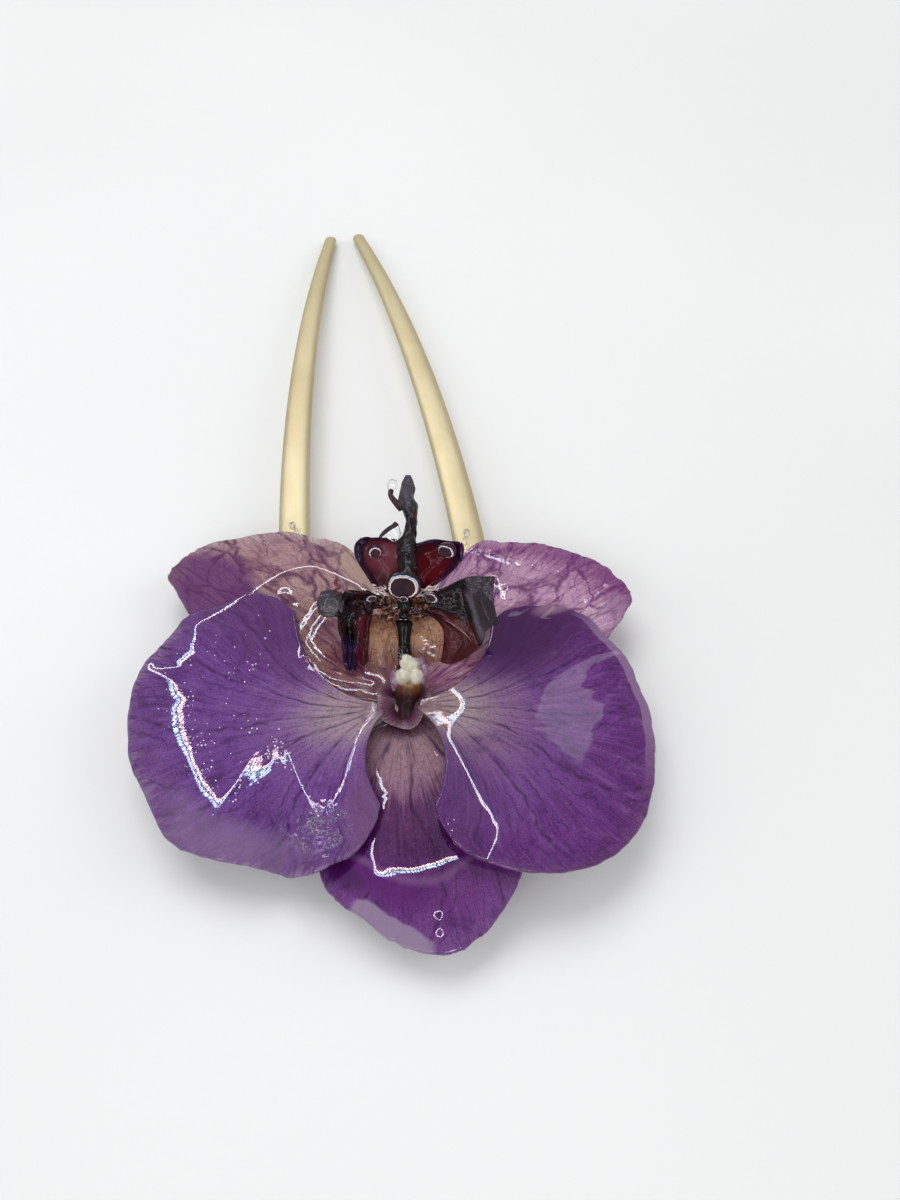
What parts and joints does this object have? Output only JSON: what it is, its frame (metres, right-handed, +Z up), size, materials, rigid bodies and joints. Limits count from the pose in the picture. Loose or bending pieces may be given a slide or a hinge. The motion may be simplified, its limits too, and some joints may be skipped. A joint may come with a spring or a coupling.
{
  "type": "orchid hairpin",
  "caption": "Two-prong metal hair fork carrying a real orchid flower kept in clear resin, with arched U-shaped prongs that slide into a bun.",
  "frame": {"origin": "middle of the underside of the fork's flat crown strip, on the table", "axes": "+Y along the prongs to their tips, +Z up out of the flower's face, +X to the right seen from above with the tips pointing away"},
  "size_m": [0.082, 0.16, 0.0303],
  "materials": {
    "satin_gold": "satin pale gold plate",
    "clear_resin": "clear cast resin",
    "petal": "purple flower tissue under glossy clear resin",
    "lateral_sepal": "pink-tan veined flower tissue under glossy clear resin",
    "dorsal_sepal": "tan to violet flower tissue under glossy clear resin",
    "column_brown": "brown-red tissue under glossy clear resin",
    "anther_cream": "cream tissue under glossy clear resin",
    "lip_dark": "dried wine-black tissue under glossy clear resin",
    "callus_brown": "black-brown warty tissue under glossy clear resin",
    "lip_wine": "dark wine-red translucent tissue under glossy clear resin"
  },
  "bodies": {
    "root": {"hair_fork": "satin_gold", "resin_pad": "clear_resin", "petal_left": "petal", "petal_right": "petal", "sepal_left": "lateral_sepal", "sepal_right": "lateral_sepal", "sepal_dorsal": "dorsal_sepal", "column": "column_brown", "anther_cap": "anther_cream", "lip_claw": "lip_dark", "lip_callus": "callus_brown", "lip_side_lobe_left": "lip_dark", "lip_side_lobe_right": "lip_dark", "lip_mid_lobe": "lip_wine", "lip_tip": "lip_dark", "lip_tendril": "lip_dark", "lip_tendril_stub": "lip_dark"}
  },
  "joints": []
}
